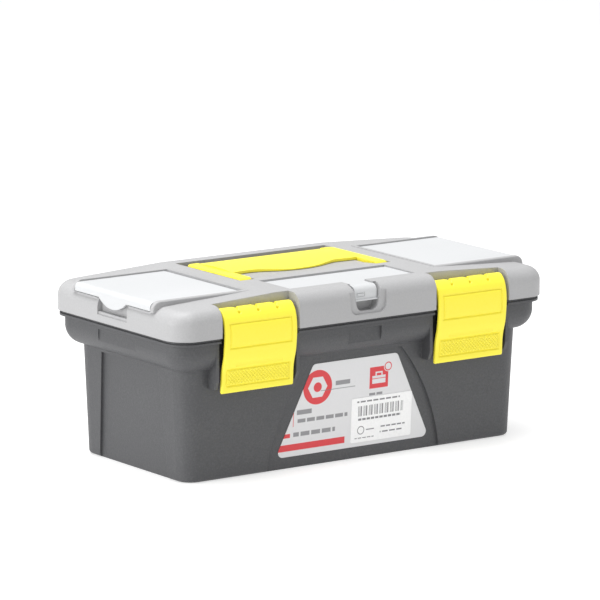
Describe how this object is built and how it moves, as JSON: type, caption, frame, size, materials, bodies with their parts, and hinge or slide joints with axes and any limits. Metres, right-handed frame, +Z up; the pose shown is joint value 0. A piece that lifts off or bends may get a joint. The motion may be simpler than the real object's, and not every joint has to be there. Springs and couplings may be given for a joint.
{
  "type": "toolbox with tray",
  "caption": "Small moulded toolbox with hinged lid, snap latches, covered lid organisers, a folding carrying handle and a lift-out tray.",
  "frame": {"origin": "middle of the footprint, on the surface the box stands on", "axes": "+X along the length to the right seen from the front, -Y towards the front with the latches, +Z up"},
  "size_m": [0.25, 0.126, 0.1004],
  "materials": {
    "tub_plastic": "fine grained moulding",
    "lid_plastic": "fine grained moulding",
    "cover_plastic": "milky satin",
    "yellow_plastic": "satin moulding",
    "tray_plastic": "fine grained moulding",
    "steel": "drawn wire",
    "label_film": "printed film",
    "sticker_film": "printed film"
  },
  "bodies": {
    "tub": {"tub": "tub_plastic", "left_hinge_pin": "steel", "right_hinge_pin": "steel", "product_label": "label_film", "barcode_sticker": "sticker_film"},
    "lid": {"lid": "lid_plastic", "left_latch_pin": "steel", "right_latch_pin": "steel"},
    "left_latch": {"left_latch": "yellow_plastic"},
    "right_latch": {"right_latch": "yellow_plastic"},
    "left_organiser_cover": {"left_organiser_cover": "cover_plastic"},
    "right_organiser_cover": {"right_organiser_cover": "cover_plastic"},
    "front_organiser_cover": {"front_organiser_cover": "cover_plastic"},
    "carrying_handle": {"carrying_handle": "yellow_plastic"},
    "tray": {"lift_out_tray": "tray_plastic"}
  },
  "joints": [
    {"name": "lid_hinge", "type": "hinge", "parent": "tub", "child": "lid", "pos_m": [0, 0.0585, 0.076], "axis": [-1, 0, 0], "range_deg": [0, 105]},
    {"name": "left_latch_hinge", "type": "hinge", "parent": "lid", "child": "left_latch", "pos_m": [-0.07125, -0.0559, 0.092], "axis": [-1, 0, 0], "range_deg": [0, 100]},
    {"name": "right_latch_hinge", "type": "hinge", "parent": "lid", "child": "right_latch", "pos_m": [0.07125, -0.0559, 0.092], "axis": [-1, 0, 0], "range_deg": [0, 100]},
    {"name": "left_cover_hinge", "type": "hinge", "parent": "lid", "child": "left_organiser_cover", "pos_m": [-0.0665, 0, 0.0967], "axis": [0, 1, 0], "range_deg": [0, 95]},
    {"name": "right_cover_hinge", "type": "hinge", "parent": "lid", "child": "right_organiser_cover", "pos_m": [0.0665, 0, 0.0967], "axis": [0, -1, 0], "range_deg": [0, 95]},
    {"name": "front_cover_hinge", "type": "hinge", "parent": "lid", "child": "front_organiser_cover", "pos_m": [0, -0.0215, 0.0967], "axis": [-1, 0, 0], "range_deg": [0, 95]},
    {"name": "handle_pivot", "type": "hinge", "parent": "lid", "child": "carrying_handle", "pos_m": [0, -0.0103, 0.0974], "axis": [1, 0, 0], "range_deg": [0, 90]},
    {"name": "tray_lift", "type": "slide", "parent": "tub", "child": "tray", "axis": [0, 0, 1], "range_m": [0, 0.06]}
  ],
  "couplings": [
    {"joint": "tray_lift", "follows": "lid_hinge", "m_per_rad": 0.03}
  ]
}
